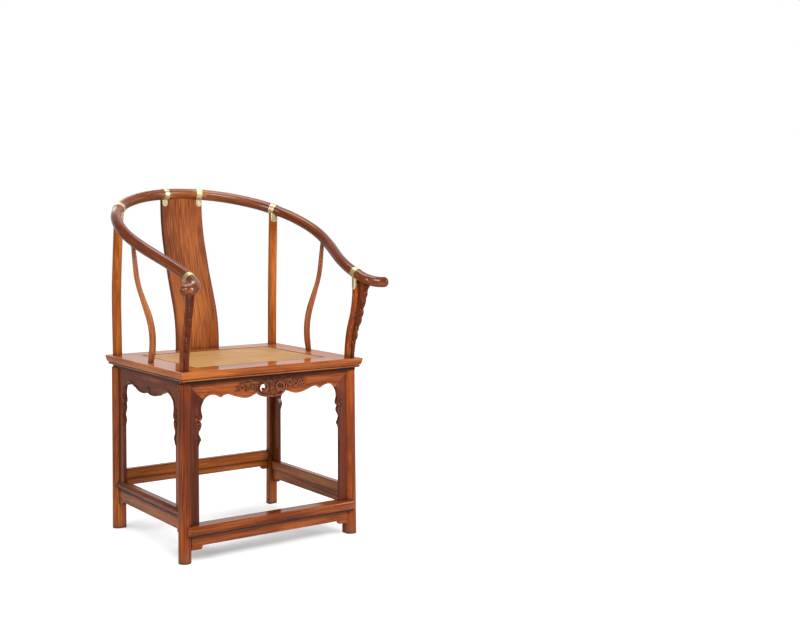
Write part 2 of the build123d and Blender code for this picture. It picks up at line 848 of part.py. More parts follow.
front_mitre_right = Plane(
    (front_mitre_reach, 0, apron_mitre_height), x_dir=(0, 1, 0), z_dir=(-1, 0, 1)
)
front_mitre_left = Plane(
    (-front_mitre_reach, 0, apron_mitre_height), x_dir=(0, 1, 0), z_dir=(1, 0, 1)
)
with BuildPart() as front_apron:
    add(front_apron_whole.part)
    split(bisect_by=front_mitre_right, keep=Keep.TOP)
    split(bisect_by=front_mitre_left, keep=Keep.TOP)
front_apron.part.label = "front_apron"
with BuildPart() as front_upright_right:
    add(front_apron_whole.part)
    split(bisect_by=front_mitre_right, keep=Keep.BOTTOM)
    split(bisect_by=Plane.YZ, keep=Keep.TOP)
front_upright_right.part.label = "front_upright_right"

# Side apron, made the same way
side_face = Plane((side_apron_face, side_centre_y, 0), x_dir=(0, 1, 0), z_dir=(1, 0, 0))
side_reach = side_half_span - board_lap
side_outline = apron_outline(side_curves, side_apron_edge, side_reach, side_stretcher_top)
side_strokes = (
    (4.5, -40, 4.5, 180, 230),
    (side_apron_edge + 3, -93, 6, 90, 240),
    (side_apron_edge + 3, -112, 5.5, 90, 240),
)
with BuildSketch() as side_field:
    Rectangle(4 * seat_half_y, 4 * seat_underside)
    add(edge_band(side_curves), mode=Mode.SUBTRACT)
    add(scrolls(side_strokes), mode=Mode.SUBTRACT)
with BuildPart() as side_apron_whole:
    with BuildSketch(side_face.offset(relief_height)):
        add(side_outline)
    extrude(amount=-apron_thickness - relief_height)
    with BuildSketch(side_face):
        add(side_field.sketch)
    extrude(amount=2 * relief_height, mode=Mode.SUBTRACT)
    add(front_stick.part, mode=Mode.SUBTRACT)
    add(rear_stick.part, mode=Mode.SUBTRACT)
side_mitre_front = Plane(
    (0, side_centre_y - side_mitre_reach, apron_mitre_height), x_dir=(1, 0, 0), z_dir=(0, 1, 1)
)
side_mitre_rear = Plane(
    (0, side_centre_y + side_mitre_reach, apron_mitre_height), x_dir=(1, 0, 0), z_dir=(0, -1, 1)
)
with BuildPart() as side_apron_right:
    add(side_apron_whole.part)
    split(bisect_by=side_mitre_front, keep=Keep.TOP)
    split(bisect_by=side_mitre_rear, keep=Keep.TOP)
side_apron_right.part.label = "side_apron_right"
with BuildPart() as side_upright_front_right:
    add(side_apron_whole.part)
    split(bisect_by=side_mitre_front, keep=Keep.BOTTOM)
    split(bisect_by=Plane.XZ.offset(-side_centre_y), keep=Keep.TOP)
side_upright_front_right.part.label = "side_upright_front_right"
with BuildPart() as side_upright_rear_right:
    add(side_apron_whole.part)
    split(bisect_by=side_mitre_rear, keep=Keep.BOTTOM)
    split(bisect_by=Plane.XZ.offset(-side_centre_y), keep=Keep.BOTTOM)
side_upright_rear_right.part.label = "side_upright_rear_right"

rear_apron_face = rear_seat.Y + leg_radius - rear_apron_setback
with BuildPart() as rear_apron:
    with BuildSketch(Plane.XZ.offset(-rear_apron_face)):
        with Locations((0, seat_underside - rear_apron_height / 2)):
            Rectangle(2 * apron_reach, rear_apron_height)
    extrude(amount=apron_thickness)
    add(rear_sticks.part, mode=Mode.SUBTRACT)
rear_apron.part.label = "rear_apron"


# Stretchers. Profile points are (out from the inner face, z).
def stretcher_profile(plane, depth, thickness, top):
    """Section of a stretcher: convex band on its outer face over a small bead."""
    bead = 0.27 * thickness
    with BuildSketch(plane) as profile:
        with BuildLine():
            bottom = top - thickness
            Polyline(
                (depth - 5, top),
                (0, top),
                (0, bottom),
                (depth - 6, bottom),
            )
            ThreePointArc(
                (depth - 6, bottom),
                (depth - 4, bottom + bead / 2),
                (depth - 6, bottom + bead),
            )
            Line((depth - 6, bottom + bead), (depth - 4, bottom + bead))
            ThreePointArc(
                (depth - 4, bottom + bead),
                (depth, bottom + 0.62 * thickness),
                (depth - 5, top),
            )
        make_face()
    return profile.sketch


def bracket_outline(reach, top, height):
    """Face of a stretcher's apron: a straight board with a small cove and round at each end."""
    low = top - height
    bottom = low - bracket_drop
    inner = reach - bracket_width
    cusp = (inner - bracket_round, low - bracket_cove)
    cove = (cusp[0] - bracket_cove, low)
    with BuildSketch() as outline:
        with BuildLine():
            Line((-cove[0], low), cove)
            SagittaArc(cove, cusp, 0.3 * bracket_cove)
            SagittaArc(cusp, (inner, bottom), -0.3 * bracket_round)
            Polyline((inner, bottom), (reach, bottom), (reach, top), (-reach, top))
            Polyline((-reach, top), (-reach, bottom), (-inner, bottom))
            SagittaArc((-inner, bottom), (-cusp[0], cusp[1]), -0.3 * bracket_round)
            SagittaArc((-cusp[0], cusp[1]), (-cove[0], low), 0.3 * bracket_cove)
        make_face()
    return outline.sketch


with BuildPart() as footrest_tenons:
    with GridLocations(2 * (front_foot.X - leg_radius + tenon_root), 0, 2, 1):
        with Locations((0, front_foot.Y + 2, footrest_top - footrest_thickness / 2)):
            Box(tenon_depth + tenon_root, tenon_thickness, footrest_thickness / 2)
with BuildPart() as footrest:
    extrude(
        stretcher_profile(
            Plane((0, -footrest_front + footrest_depth, 0), x_dir=(0, -1, 0), z_dir=(-1, 0, 0)),
            footrest_depth,
            footrest_thickness,
            footrest_top,
        ),
        amount=footrest_reach,
        both=True,
    )
    with BuildSketch(Plane.XY.offset(footrest_top - footrest_thickness)):
        with Locations((0, -footrest_front + footrest_depth)):
            RectangleRounded(2 * footrest_reach, 2 * footrest_depth, footrest_corner)
    extrude(amount=footrest_thickness, mode=Mode.INTERSECT)
    add(front_sticks.part, mode=Mode.SUBTRACT)
    add(footrest_tenons.part)
footrest.part.label = "footrest"

foot_apron_top = footrest_top - footrest_thickness
with BuildPart() as footrest_apron:
    with BuildSketch(Plane.XZ.offset(footrest_front - footrest_apron_setback)):
        add(bracket_outline(front_foot.X - leg_radius + 1, foot_apron_top, footrest_apron_height))
    extrude(amount=-stretcher_apron_thickness)
    add(front_sticks.part, mode=Mode.SUBTRACT)
footrest_apron.part.label = "footrest_apron"

side_stretcher_x = front_seat.X - side_stretcher_inset
side_stretcher_middle = side_stretcher_top - side_stretcher_thickness / 2
with BuildPart() as side_tenons:
    with Locations(
        (side_stretcher_x + 10, front_foot.Y + leg_radius - tenon_root, side_stretcher_middle),
        (side_stretcher_x + 10, rear_foot.Y - leg_radius + tenon_root, side_stretcher_middle),
    ):
        Box(tenon_thickness, tenon_depth + tenon_root, side_stretcher_thickness / 2)
with BuildPart() as side_stretcher_right:
    extrude(
        stretcher_profile(
            Plane((side_stretcher_x, side_centre_y, 0), x_dir=(1, 0, 0), z_dir=(0, -1, 0)),
            stretcher_width,
            side_stretcher_thickness,
            side_stretcher_top,
        ),
        amount=side_half_span - leg_lap,
        both=True,
    )
    add(front_stick.part, mode=Mode.SUBTRACT)
    add(rear_stick.part, mode=Mode.SUBTRACT)
    add(side_tenons.part)
side_stretcher_right.part.label = "side_stretcher_right"
side_stretcher_face = side_stretcher_x + stretcher_width - stretcher_apron_setback
with BuildPart() as side_stretcher_apron_right:
    with BuildSketch(Plane((side_stretcher_face, side_centre_y, 0), x_dir=(0, 1, 0), z_dir=(1, 0, 0))):
        add(
            bracket_outline(
                side_half_span - board_lap,
                side_stretcher_top - side_stretcher_thickness,
                side_stretcher_apron_height,
            )
        )
    extrude(amount=-stretcher_apron_thickness)
    add(front_stick.part, mode=Mode.SUBTRACT)
    add(rear_stick.part, mode=Mode.SUBTRACT)
side_stretcher_apron_right.part.label = "side_stretcher_apron_right"

back_stretcher_y = rear_seat.Y - back_stretcher_inset
with BuildPart() as back_tenons:
    with GridLocations(2 * (rear_foot.X - leg_radius + tenon_root), 0, 2, 1):
        with Locations((0, back_stretcher_y + 10, back_stretcher_top - back_stretcher_thickness / 2)):
            Box(tenon_depth + tenon_root, tenon_thickness, back_stretcher_thickness / 2)
with BuildPart() as back_stretcher:
    extrude(
        stretcher_profile(
            Plane((0, back_stretcher_y, 0), x_dir=(0, 1, 0), z_dir=(1, 0, 0)),
            stretcher_width,
            back_stretcher_thickness,
            back_stretcher_top,
        ),
        amount=rear_foot.X - leg_lap,
        both=True,
    )
    add(rear_sticks.part, mode=Mode.SUBTRACT)
    add(back_tenons.part)
back_stretcher.part.label = "back_stretcher"
back_stretcher_face = back_stretcher_y + stretcher_width - stretcher_apron_setback
with BuildPart() as back_stretcher_apron:
    with BuildSketch(Plane.XZ.offset(-back_stretcher_face)):
        add(
            bracket_outline(
                rear_foot.X - board_lap,
                back_stretcher_top - back_stretcher_thickness,
                back_stretcher_apron_height,
            )
        )
    extrude(amount=stretcher_apron_thickness)
    add(rear_sticks.part, mode=Mode.SUBTRACT)
back_stretcher_apron.part.label = "back_stretcher_apron"

# Legs last, with the mortises of all that is let into them
with BuildPart() as front_leg_right:
    add(front_stick.part)
    add(half_rail, mode=Mode.SUBTRACT)
    add(front_tenon)
    add(footrest_tenons.part, mode=Mode.SUBTRACT)
    add(side_tenons.part, mode=Mode.SUBTRACT)
front_leg_right.part.label = "front_leg_right"
with BuildPart() as rear_leg_right:
    add(rear_stick.part)
    add(half_rail, mode=Mode.SUBTRACT)
    add(rear_tenon)
    add(side_tenons.part, mode=Mode.SUBTRACT)
    add(back_tenons.part, mode=Mode.SUBTRACT)
rear_leg_right.part.label = "rear_leg_right"

middle_pieces = {
    "crest_rail_centre": crest_rail_centre.part,
    "scarf_pegs": scarf_pegs.part,
    "back_splat": back_splat.part,
    "seat_rail_front": seat_rail_front.part,
    "seat_rail_back": seat_rail_back.part,
    "seat_braces": seat_braces.part,
    "palm_webbing": palm_webbing.part,
    "cane_mat": cane_mat.part,
    "mat_border": mat_border.part,
    "front_apron": front_apron.part,
    "rear_apron": rear_apron.part,
    "footrest": footrest.part,
    "footrest_apron": footrest_apron.part,
    "back_stretcher": back_stretcher.part,
    "back_stretcher_apron": back_stretcher_apron.part,
}
right_pieces = {
    "crest_shoulder": crest_shoulder_right.part,
    "arm_rail": arm_rail_right.part,
    "front_leg": front_leg_right.part,
    "rear_leg": rear_leg_right.part,
    "side_brace": side_brace_right.part,
    "arm_spandrel": arm_spandrel_right.part,
    "splat_strap": splat_strap_right.part,
    "rear_post_strap": rear_post_strap_right.part,
    "front_post_strap": front_post_strap_right.part,
    "seat_rail": seat_rail_right.part,
    "front_upright": front_upright_right.part,
    "side_apron": side_apron_right.part,
    "side_upright_front": side_upright_front_right.part,
    "side_upright_rear": side_upright_rear_right.part,
    "side_stretcher": side_stretcher_right.part,
    "side_stretcher_apron": side_stretcher_apron_right.part,
}

# The origin lies on the floor, under the middle of the whole chair
boxes = [piece.bounding_box() for piece in (*middle_pieces.values(), *right_pieces.values())]
back = max(box.max.Y for box in boxes)
front = min(box.min.Y for box in boxes)
to_origin = Location((0, -(back + front) / 2, 0))


def write_piece(piece, name):
    """Write one piece as a STEP file."""
    placed = piece.moved(to_origin)
    placed.label = name
    export_step(placed, f"parts/{name}.step")


os.makedirs("parts", exist_ok=True)
for name, piece in middle_pieces.items():
    write_piece(piece, name)
for name, piece in right_pieces.items():
    write_piece(piece, f"{name}_right")
    with BuildPart() as left:
        mirror(piece, about=Plane.YZ)
    write_piece(left.part, f"{name}_left")
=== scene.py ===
import math

import bmesh
import bpy
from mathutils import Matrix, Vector


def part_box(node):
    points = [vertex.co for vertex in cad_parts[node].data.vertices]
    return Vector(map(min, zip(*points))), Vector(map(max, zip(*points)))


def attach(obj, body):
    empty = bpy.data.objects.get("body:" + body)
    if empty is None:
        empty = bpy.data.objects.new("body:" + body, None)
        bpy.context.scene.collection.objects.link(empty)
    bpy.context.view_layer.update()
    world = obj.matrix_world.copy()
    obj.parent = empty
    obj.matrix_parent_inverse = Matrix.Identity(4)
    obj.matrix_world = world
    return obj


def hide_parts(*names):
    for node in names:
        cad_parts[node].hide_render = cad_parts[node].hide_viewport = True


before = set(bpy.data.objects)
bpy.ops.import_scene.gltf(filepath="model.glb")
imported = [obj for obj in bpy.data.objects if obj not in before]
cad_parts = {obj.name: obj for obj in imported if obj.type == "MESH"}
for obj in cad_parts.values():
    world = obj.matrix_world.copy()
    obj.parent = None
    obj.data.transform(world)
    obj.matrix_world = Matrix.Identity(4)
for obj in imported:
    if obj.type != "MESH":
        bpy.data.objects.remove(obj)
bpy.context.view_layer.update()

# Lengths are in metres, apart from the carving's and the seat's, which are in millimetres.
# Colours are linear. A range such as (0.6, 0.7) is where a value starts and where it is full.
MM = 0.001

# Camera: the photograph's own viewpoint, worked out from the chair's feet, seat and rail
IMAGE_WIDTH = 800.0
FOCAL_PIXELS = 1209.46
HORIZON_ROW_OFFSET = 61.3
CAMERA_PLACE = (-1.6488, -3.1118, 0.9245)
CAMERA_TURN = -0.626
CAMERA_PITCH = 0.036
SENSOR = 36.0

# Studio: white where the camera looks, dim in reflections, apart from a bright backdrop to one side
AMBIENT = 0.16
ROOM = 0.12
BACKDROP_REFLECTED = 0.85
BACKDROP_HEADING = (0.586, 0.81, 0.0)
BACKDROP_EDGE = (0.4, 0.85)

# Floor: it glows to plain white, less so in reflections
FLOOR_SIZE = 9
FLOOR_GLOW = 0.82
FLOOR_REFLECTED = 0.25
FLOOR_GREY = (0.8, 0.8, 0.8)
FLOOR_SEEN_GREY = (0.35, 0.35, 0.35)
PLAIN_WHITE_FROM = (0.6, 1.2)

# Shadow between the feet, mostly from what stands in front. A name that ends in X or Y is a place
# on the floor; the other distances count inwards from the front left leg's outer corner.
SHADOW_REACH = 0.16
SHADOW_LEAN = (0.05, -0.8, 0.6)
SHADOW_NEAR = (0.97, 0.5)
SHADOW_DEPTH = 1.35
SHADOW_DEEPEST = 0.52
SHADOW_SOFTENED = 0.25
SHADOW_FROM_FRONT = (0.016, 0.11)
SHADOW_FROM_SIDE = 0.11
SHADOW_FADES_BACK = (0.34, 0.12)
SHADOW_REAR_SHARE = 0.85
SHADOW_LEFT_X = -0.08
SHADOW_RIGHT_SHARE = 0.35
SHADOW_LEFT_SHARE = 1.15
UNDER_SHADE = 0.3
UNDER_X = (-0.2, 0.16)
UNDER_FROM_SIDE = 0.06
UNDER_REAR_Y = (0.26, 0.14)
UNDER_FROM_FRONT = 0.1

# Colours
WOOD_LIGHT = (0.50, 0.144, 0.030)
WOOD_MID = (0.31, 0.070, 0.014)
WOOD_DARK = (0.12, 0.022, 0.007)
# Pale edges: wear and painted highlight
WOOD_EDGE_WEAR_AND_HIGHLIGHT = (0.58, 0.26, 0.12)
# Patina, and painted shade along edges
WOOD_PATINA_AND_SHADE = (0.11, 0.024, 0.011)
# Painted shade under a moulding's lip
WOOD_UNDERSIDE_SHADE = (0.022, 0.006, 0.004)
WORN_FOOT = (0.24, 0.10, 0.05)
# Darker copies of the wood for the inner parts, the scarf pegs, seat braces and rear apron: painted shade
SHADED_INNER_LIGHT = (0.20, 0.065, 0.03)
SHADED_INNER_DARK = (0.06, 0.018, 0.009)
BRASS_LIGHT = (0.80, 0.70, 0.44)
BRASS_DARK = (0.52, 0.41, 0.21)
CANE_LIGHT = (0.50, 0.275, 0.105)
CANE_DARK = (0.36, 0.18, 0.06)
FIBRE_LIGHT = (0.30, 0.17, 0.075)
FIBRE_DARK = (0.10, 0.05, 0.022)

# Grain. A scale is how fine a noise is, twice across the grain and once along it.
STICK_GRAIN = {
    "figure": (60, 60, 1.2), "streak": (400, 400, 5), "figure_share": 0.22, "contrast": (0.33, 0.69),
}
BOARD_GRAIN = {
    "figure": (130, 130, 1.6), "streak": (430, 430, 12), "figure_share": 0.12, "contrast": (0.3, 0.72),
}
GRAIN_SHARE = 0.65
CLOUD_SHARE = 0.35
CLOUD_SCALE = (9, 9, 3.2)
WANDER_SCALE = (5, 5, 2.2)
WANDER_ACROSS = (0.03, 0.024)
PORE_SCALE = (900, 900, 26)
PORE_EDGE = (0.6, 0.7)
PORE_DARKNESS = 0.45
DARK_TO_MID = (0.0, 0.5)
MID_TO_LIGHT = (0.4, 1.0)
STREAK_DEPTH = 0.00008
PORE_DEPTH = 0.00006
SEED_MOVE = (1.37, 0.71, 2.13)
RAIL_CENTRE_Y = 0.03
RAIL_RADIUS = 0.3
BAR_RADIUS = 0.014
BAR_TURN = 0.6

# Age, painted shade and highlight, and polish. A hollow is dark where nearby wood closes it in, from closed
# to open: painted shade, with some dirt.
RECESS_SHADE_AND_DIRT = {"reach": 0.022, "samples": 6, "closed": 0.2, "open": 0.92, "darkest": 0.1}
CARVING_DIRT_AND_SHADE = {"reach": 0.006, "samples": 8, "closed": 0.4, "open": 0.95, "darkest": 0.12}
PATINA_EDGE = (1.15, 0.55)
PATINA_DEPTH = 0.82
PATINA_RAGGED = 0.6
# Painted shade under a moulding's lip
UNDERSIDE_SHADE_DEPTH = 0.95
UNDERSIDE_SHADE_BLUR = 0.001
WEAR_SCALE = (60, 60, 30)
WEAR_HEIGHT = (0.03, -0.01)
WEAR_RAGGED = 0.03
WEAR_DEPTH = 0.4
ROUNDING = 0.0013
# Pale edges: wear and painted highlight
ROUNDED = (0.985, 0.86)
# Painted shade along edges
EDGE_SHADE_REACH = 0.01
EDGE_SHADE_SPAN = (0.84, 0.5)
EDGE_SHADE_DEPTH = 0.95
POLISH_SCALE = (30, 30, 8)
POLISH_ROUGHNESS = (0.20, 0.34)
COAT_ROUGHNESS = 0.1

# Twill of the cane mat: the width of a strip, and how many cells it passes over in each repeat
CANE_PITCH = 0.0024
TWILL_REPEAT = 4.0
TWILL_OVER = 1.5

# Carving, in millimetres
RELIEF = 2.0
RIDGE_SIDES = 6
RIDGE_SUNK = 0.3
RIDGE_TIP_WIDTH = 0.2
RIDGE_TIP_HEIGHT = 0.4
RIDGE_TAPER = 0.45
CURL_STEPS = 24
CURL_TAIL = 230.0
CURL_TAIL_STEPS = 16
CURL_CLOSES = 0.75
CARVING_SEED = 61
UPRIGHT_EDGE_FRONT = 221.0
UPRIGHT_EDGE_SIDE = 173.5
SPANDREL_FOOT = (258.0, -223.07)
SPANDREL_TURN = 9.0
SPANDREL_THICKNESS = 8.5

# Seat, in millimetres
MAT_SAG = 1.6
MAT_FULLNESS = 0.6
MAT_THICKNESS = 1.2
MAT_COLUMNS = 48
MAT_ROWS = 40
CORD_PITCH = 14.0
CORD_RADIUS = 0.8
CORD_WAVE = 0.4
CORD_SIDES = 5
CORD_TWIST = 0.25


class Graph:
    """The node tree of a material or world, with short calls for the nodes used here."""

    def __init__(self, owner, output="ShaderNodeOutputMaterial"):
        self.owner = owner
        owner.use_nodes = True
        self.tree = owner.node_tree
        self.tree.nodes.clear()
        self.output = self.tree.nodes.new(output)
        places = self.tree.nodes.new("ShaderNodeTexCoord").outputs
        self.coords = places["Object"]
        self.heading = places["Generated"]

    def put(self, value, socket):
        if isinstance(value, bpy.types.NodeSocket):
            self.tree.links.new(value, socket)
        elif socket.type == "RGBA" and len(value) == 3:
            socket.default_value = (*value, 1)
        else:
            socket.default_value = value

    def node(self, kind, inputs=(), **settings):
        made = self.tree.nodes.new(kind)
        for key, value in settings.items():
            setattr(made, key, value)
        for key, value in dict(inputs).items():
            self.put(value, made.inputs[key])
        return made

    def math(self, operation, a, b=0.0, c=0.0):
        made = self.node("ShaderNodeMath", {0: a, 1: b, 2: c}, operation=operation)
        return made.outputs[0]

    def plus(self, a, b):
        return self.math("ADD", a, b)

    def minus(self, a, b):
        return self.math("SUBTRACT", a, b)

    def times(self, a, b):
        return self.math("MULTIPLY", a, b)

    def either(self, choice, a, b):
        """a where choice is 1, and b where it is 0."""
        return self.plus(self.times(a, choice), self.times(b, self.minus(1.0, choice)))

    def vector(self, operation, a, b):
        made = self.node("ShaderNodeVectorMath", {0: a, 1: b}, operation=operation)
        return made.outputs["Value" if operation == "DOT_PRODUCT" else "Vector"]

    def length(self, vector):
        made = self.node("ShaderNodeVectorMath", {0: vector}, operation="LENGTH")
        return made.outputs["Value"]

    def scaled(self, vector, scale, move=(0, 0, 0)):
        made = self.node("ShaderNodeMapping", {"Vector": vector, "Scale": scale, "Location": move})
        return made.outputs[0]

    def noise(self, vector, detail=3.0, roughness=0.5, scale=1.0):
        made = self.node(
            "ShaderNodeTexNoise",
            {"Vector": vector, "Scale": scale, "Detail": detail, "Roughness": roughness},
        )
        return made.outputs["Fac"]

    def span(self, value, low, high, to_low=0.0, to_high=1.0):
        made = self.node(
            "ShaderNodeMapRange",
            {"Value": value, "From Min": low, "From Max": high, "To Min": to_low, "To Max": to_high},
            interpolation_type="SMOOTHSTEP",
        )
        return made.outputs[0]

    def mix(self, share, a, b, blend="MIX"):
        made = self.node("ShaderNodeMix", data_type="RGBA", blend_type=blend)
        self.put(share, made.inputs["Factor"])
        self.put(a, made.inputs[6])
        self.put(b, made.inputs[7])
        return made.outputs[2]

    def parts(self, vector):
        made = self.node("ShaderNodeSeparateXYZ", {0: vector})
        return made.outputs

    def joined(self, x, y, z):
        made = self.node("ShaderNodeCombineXYZ", {0: x, 1: y, 2: z})
        return made.outputs[0]

    def occlusion(self, reach, samples, inputs=(), **settings):
        """How open a point's surroundings are, out to a reach: 0 closed, 1 open."""
        inputs = {"Distance": reach, **dict(inputs)}
        made = self.node("ShaderNodeAmbientOcclusion", inputs, samples=samples, **settings)
        return made.outputs["AO"]

    def bump(self, height, distance, strength=1.0, normal=None):
        inputs = {"Height": height, "Distance": distance, "Strength": strength}
        if normal is not None:
            inputs["Normal"] = normal
        return self.node("ShaderNodeBump", inputs).outputs[0]

    def surface(self, shader):
        self.tree.links.new(shader.outputs[0], self.output.inputs["Surface"])
        return self.owner

    def principled(self, **inputs):
        named = {key.replace("_", " "): value for key, value in inputs.items()}
        return self.surface(self.node("ShaderNodeBsdfPrincipled", named))


def round_bar(g):
    """Two coordinates across a bent round bar, from the way its surface faces."""
    facing = g.parts(g.node("ShaderNodeNewGeometry").outputs["Normal"])
    level = g.plus(facing[0], g.times(facing[1], BAR_TURN))
    return g.times(level, BAR_RADIUS), g.times(facing[2], BAR_RADIUS)


def grain_vector(g, run, seed):
    """Coordinates whose third axis runs along the grain, moved by the seed."""
    x, y, z = g.parts(g.coords)
    if run == "rail":
        turn = g.math("ARCTAN2", g.minus(y, RAIL_CENTRE_Y), x)
        vector = g.joined(*round_bar(g), g.times(turn, RAIL_RADIUS))
    elif run == "bar":
        vector = g.joined(*round_bar(g), z)
    elif run == "board":
        vector = g.joined(x, 0.0, z)
    elif run == "x":
        vector = g.joined(y, z, x)
    elif run == "y":
        vector = g.joined(x, z, y)
    else:
        vector = g.joined(x, y, z)
    return g.scaled(vector, (1, 1, 1), [seed * move for move in SEED_MOVE])


def wandering(g, vector, wander):
    """Moves the grain sideways by a slow noise, so that it isn't ruler straight."""
    off = g.minus(wander, 0.5)
    sideways = [g.times(off, reach) for reach in WANDER_ACROSS]
    return g.vector("ADD", vector, g.joined(*sideways, 0.0))


def grain_tone(g, vector, bent, streak, grain, shift):
    """How light the grain is, from 0 to 1: broad figure, fine streaks and slow clouds."""
    figure = g.noise(g.scaled(bent, grain["figure"]), 2)
    cloud = g.noise(g.scaled(vector, CLOUD_SCALE, (3, 5, 7)), 2)
    share = grain["figure_share"]
    tone = g.plus(g.times(figure, share), g.times(streak, GRAIN_SHARE - share))
    tone = g.plus(tone, g.times(cloud, CLOUD_SHARE))
    low, high = grain["contrast"]
    return g.span(tone, low + shift, high + shift)


def shaded(g, colour, hollow, tint=(1.0, 1.0, 1.0)):
    """Darkens hollows with painted shade and some dirt, and multiplies the colour by a tint, which on some
    woods paints a pale sheen.
    """
    openness = g.occlusion(hollow["reach"], hollow["samples"])
    shade = g.span(openness, hollow["closed"], hollow["open"], hollow["darkest"], 1.0)
    shade_and_tint = [g.times(shade, share) for share in tint]
    return g.mix(1.0, colour, g.joined(*shade_and_tint), "MULTIPLY")


def handled(g, colour, places, wander):
    """Dark patina round some places, each a centre and its reach along each axis."""
    ragged = g.times(g.minus(wander, 0.5), PATINA_RAGGED)
    for centre, reach in places:
        away = g.length(g.vector("DIVIDE", g.vector("SUBTRACT", g.coords, centre), reach))
        depth = g.span(g.plus(away, ragged), *PATINA_EDGE, 0.0, PATINA_DEPTH)
        colour = g.mix(depth, colour, WOOD_PATINA_AND_SHADE)
    return colour


def painted_underside_shade(g, colour, lip):
    """Painted shade on a moulding's underside, below a height."""
    height = g.parts(g.coords)[2]
    depth = g.span(height, lip + UNDERSIDE_SHADE_BLUR, lip - UNDERSIDE_SHADE_BLUR, 0.0, UNDERSIDE_SHADE_DEPTH)
    return g.mix(depth, colour, WOOD_UNDERSIDE_SHADE)


def foot_worn(g, colour, vector):
    """Pale wear at the bottom of a leg, with a ragged edge."""
    height = g.parts(g.coords)[2]
    ragged = g.times(g.noise(g.scaled(vector, WEAR_SCALE), 3), WEAR_RAGGED)
    wear = g.span(g.minus(height, ragged), *WEAR_HEIGHT, 0.0, WEAR_DEPTH)
    return g.mix(wear, colour, WORN_FOOT)


def worn_and_highlit_edges(g, colour, rounded_normal, depth):
    """Pale edges, partly wear and partly painted highlight: they are where the rounded normal turns away from
    the flat one.
    """
    flat_normal = g.node("ShaderNodeNewGeometry").outputs["Normal"]
    turned = g.vector("DOT_PRODUCT", rounded_normal, flat_normal)
    return g.mix(g.span(turned, *ROUNDED, 0.0, depth), colour, WOOD_EDGE_WEAR_AND_HIGHLIGHT)


def painted_edge_shade(g, colour):
    """Painted shade along the edges: they are where the wood behind the surface is thin."""
    behind = g.occlusion(EDGE_SHADE_REACH, 6, inside=True, only_local=True)
    return g.mix(g.span(behind, *EDGE_SHADE_SPAN, 0.0, EDGE_SHADE_DEPTH), colour, WOOD_PATINA_AND_SHADE)


def wood(
    name, seed, run="z", light=WOOD_LIGHT, dark=WOOD_DARK, shift=0.0, tint=(1.0, 1.0, 1.0), patina=(),
    carved=False, lip=None, worn=False, edge=None, coat=0.85, matt=0.0, sheen=1.35,
):
    """Polished reddish hardwood.

    run is the way of the grain, and shift darkens it. tint multiplies the colour; where it raises green
    and blue it paints a pale sheen. patina is where hands have darkened it, carved puts dirt and painted
    shade in its hollows, lip is the height below which shade is painted on a moulding's underside, and
    worn pales a foot. edge is how pale the edges are, by wear and painted highlight; without it they are
    darkened with painted shade. coat is how much polish there is, matt roughens it, and sheen is its
    index of refraction.
    """
    g = Graph(bpy.data.materials.new(name))
    grain = BOARD_GRAIN if run == "board" else STICK_GRAIN
    vector = grain_vector(g, run, seed)
    wander = g.noise(g.scaled(vector, WANDER_SCALE), 2)
    bent = wandering(g, vector, wander)
    streak = g.noise(g.scaled(bent, grain["streak"]), 3, 0.55)
    pore = g.span(g.noise(g.scaled(bent, PORE_SCALE), 2), *PORE_EDGE)
    tone = grain_tone(g, vector, bent, streak, grain, shift)
    darker = g.mix(g.span(tone, *DARK_TO_MID), dark, WOOD_MID)
    colour = g.mix(g.span(tone, *MID_TO_LIGHT), darker, light)
    colour = g.mix(g.times(pore, PORE_DARKNESS), colour, dark)
    # Painted shade and some dirt in hollows; the tint paints a pale sheen on some woods
    colour = shaded(g, colour, RECESS_SHADE_AND_DIRT, tint)
    colour = handled(g, colour, patina, wander)
    # Dirt and painted shade in the carving's hollows
    if carved:
        colour = shaded(g, colour, CARVING_DIRT_AND_SHADE)
    # Painted shade under the lip
    if lip:
        colour = painted_underside_shade(g, colour, lip)
    if worn:
        colour = foot_worn(g, colour, vector)
    polish = g.noise(g.scaled(vector, POLISH_SCALE, (1, 2, 3)), 3)
    normal = g.node("ShaderNodeBevel", {"Radius": ROUNDING}, samples=6).outputs[0]
    # Edges pale with wear and painted highlight, or darkened with painted shade
    colour = worn_and_highlit_edges(g, colour, normal, edge) if edge else painted_edge_shade(g, colour)
    normal = g.bump(streak, STREAK_DEPTH, 0.5, normal)
    normal = g.bump(g.minus(1.0, pore), PORE_DEPTH, 0.4, normal)
    return g.principled(
        Base_Color=colour,
        Roughness=g.span(polish, 0.3, 0.7, *POLISH_ROUGHNESS),
        Normal=normal,
        Specular_IOR_Level=0.0,
        Coat_Weight=coat,
        Coat_Roughness=COAT_ROUGHNESS + matt,
        Coat_IOR=sheen,
    )


def brass():
    """Aged yellow sheet brass, dented, with dark spots and polished places."""
    g = Graph(bpy.data.materials.new("brass"))
    cloud = g.noise(g.coords, detail=4, roughness=0.6, scale=90)
    spots = g.span(g.noise(g.coords, detail=3, roughness=0.6, scale=420), 0.56, 0.7)
    colour = g.mix(g.span(cloud, 0.35, 0.65), BRASS_DARK, BRASS_LIGHT)
    colour = g.mix(g.times(spots, 0.5), colour, BRASS_DARK)
    rough = g.span(cloud, 0.3, 0.7, to_low=0.42, to_high=0.28)
    dents = g.bump(g.noise(g.coords, detail=2, scale=160), distance=0.0006, strength=0.5)
    return g.principled(Base_Color=colour, Roughness=rough, Normal=dents, Metallic=0.7)


